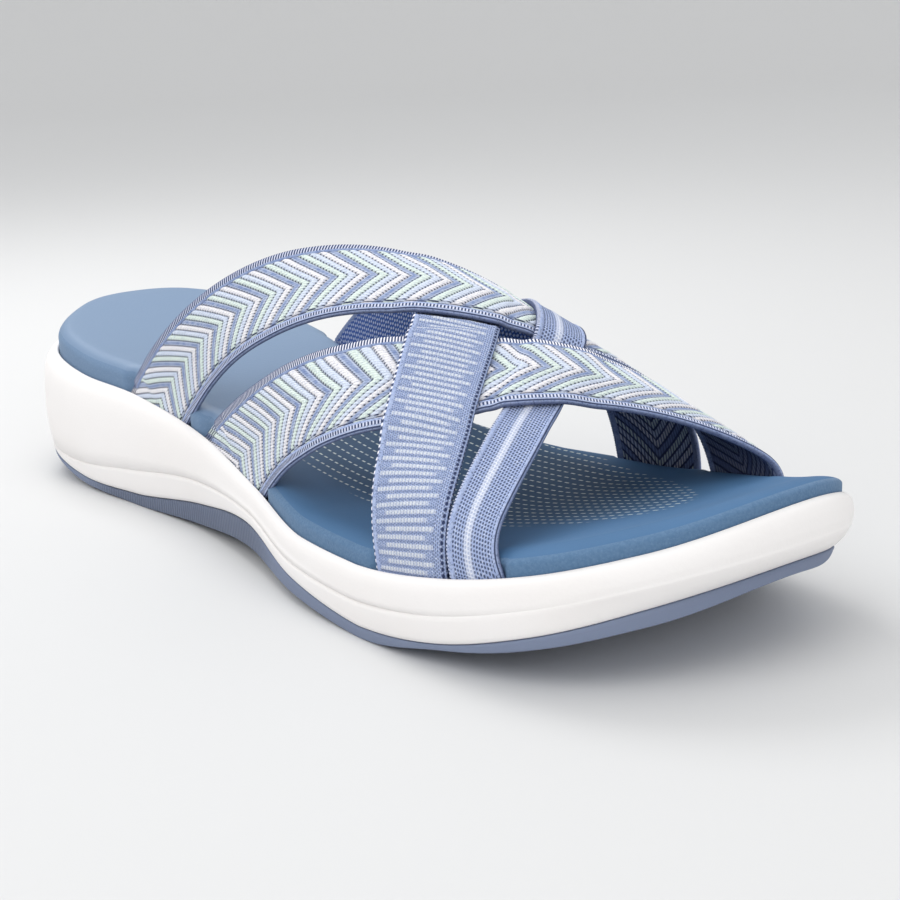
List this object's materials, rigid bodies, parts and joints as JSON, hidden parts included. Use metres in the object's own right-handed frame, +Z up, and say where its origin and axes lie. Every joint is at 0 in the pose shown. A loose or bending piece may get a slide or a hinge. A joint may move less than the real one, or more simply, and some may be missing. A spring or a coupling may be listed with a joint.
{
  "type": "strappy comfort slide sandal",
  "caption": "Slip-on comfort sandal with a low wedge sole, a contoured footbed and woven straps that cross over the instep.",
  "frame": {"origin": "middle of the shoe's box, at the height of the ground it stands on", "axes": "+X towards the toe, +Z up, +Y towards the big toe's side, -Y towards the little toe's side"},
  "size_m": [0.2606, 0.0908, 0.0711],
  "materials": {
    "outsole": "matt slate blue rubber",
    "midsole": "matt warm white foam",
    "insole": "soft blue brushed textile over foam",
    "upper": "woven elastic webbing"
  },
  "bodies": {
    "root": {"outsole": "outsole", "midsole": "midsole", "insole": "insole", "upper": "upper"}
  },
  "joints": []
}
